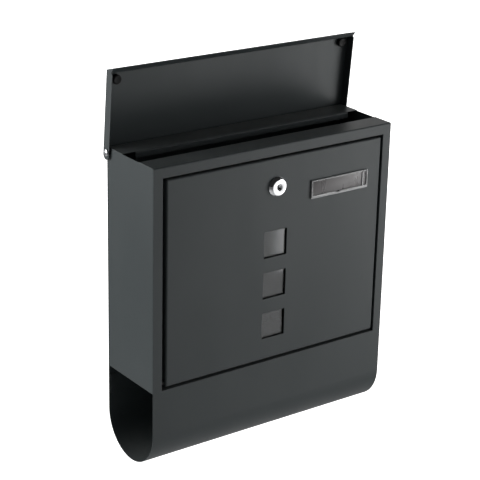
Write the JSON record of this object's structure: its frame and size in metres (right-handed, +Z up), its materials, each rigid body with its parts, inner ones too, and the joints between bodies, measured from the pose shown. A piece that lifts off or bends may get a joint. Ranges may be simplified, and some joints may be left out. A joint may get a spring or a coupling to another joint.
{
  "type": "wall mounted mailbox",
  "caption": "Wall-hung sheet-steel letter box with a top mail slot under a hinged lid, a locking drop-down front door with square windows, and an open newspaper trough underneath.",
  "frame": {"origin": "centre of the four wall fixing holes, on the wall plane that the bosses bear on", "axes": "+X to the viewer's right along the box, -Y out of the front away from the wall, +Y into the wall, +Z up"},
  "size_m": [0.3716, 0.115, 0.4992],
  "materials": {
    "anthracite_paint": "fine-textured satin powder coat, anthracite grey",
    "zinc_steel": "bright zinc plate",
    "lock_chrome": "polished chrome plate",
    "brass": "stamped brass",
    "black_nylon": "moulded nylon",
    "black_rubber": "matt rubber",
    "black_foam": "closed-cell foam tape",
    "clear_pane": "clear acrylic sheet",
    "clear_plastic": "clear moulded plastic"
  },
  "bodies": {
    "case": {"front_shell": "anthracite_paint", "back_panel": "anthracite_paint", "left_side_panel": "anthracite_paint", "right_side_panel": "anthracite_paint", "floor_panel": "anthracite_paint", "door_hinge_pin_left": "zinc_steel", "door_hinge_pin_right": "zinc_steel", "lid_rivet_left": "zinc_steel", "lid_rivet_right": "zinc_steel", "door_hinge_bush_left": "black_nylon", "door_hinge_bush_right": "black_nylon", "lid_spacer_left": "black_nylon", "lid_spacer_right": "black_nylon"},
    "lid": {"lid": "anthracite_paint", "lid_bumper_left": "black_rubber", "lid_bumper_right": "black_rubber"},
    "door": {"door": "anthracite_paint", "window_gasket": "black_foam", "window_pane": "clear_pane", "pane_clips": "zinc_steel", "lock_housing": "lock_chrome", "lock_washer": "zinc_steel", "lock_nut": "zinc_steel", "nameplate_holder": "clear_plastic", "nameplate_cover": "clear_plastic"},
    "lock_rotor": {"lock_plug": "lock_chrome", "lock_wafers": "brass", "lock_cam": "zinc_steel", "cam_washer": "zinc_steel", "cam_screw": "zinc_steel"}
  },
  "joints": [
    {"name": "lid_hinge", "type": "hinge", "parent": "case", "child": "lid", "pos_m": [0, -0.0109, 0.1342], "axis": [1, 0, 0], "range_deg": [0, 81.9]},
    {"name": "door_hinge", "type": "hinge", "parent": "case", "child": "door", "pos_m": [0, -0.104, -0.138], "axis": [1, 0, 0], "range_deg": [0, 105]},
    {"name": "lock_turn", "type": "hinge", "parent": "door", "child": "lock_rotor", "pos_m": [0, -0.11, 0.0865], "axis": [0, 1, 0], "range_deg": [0, 90]}
  ]
}
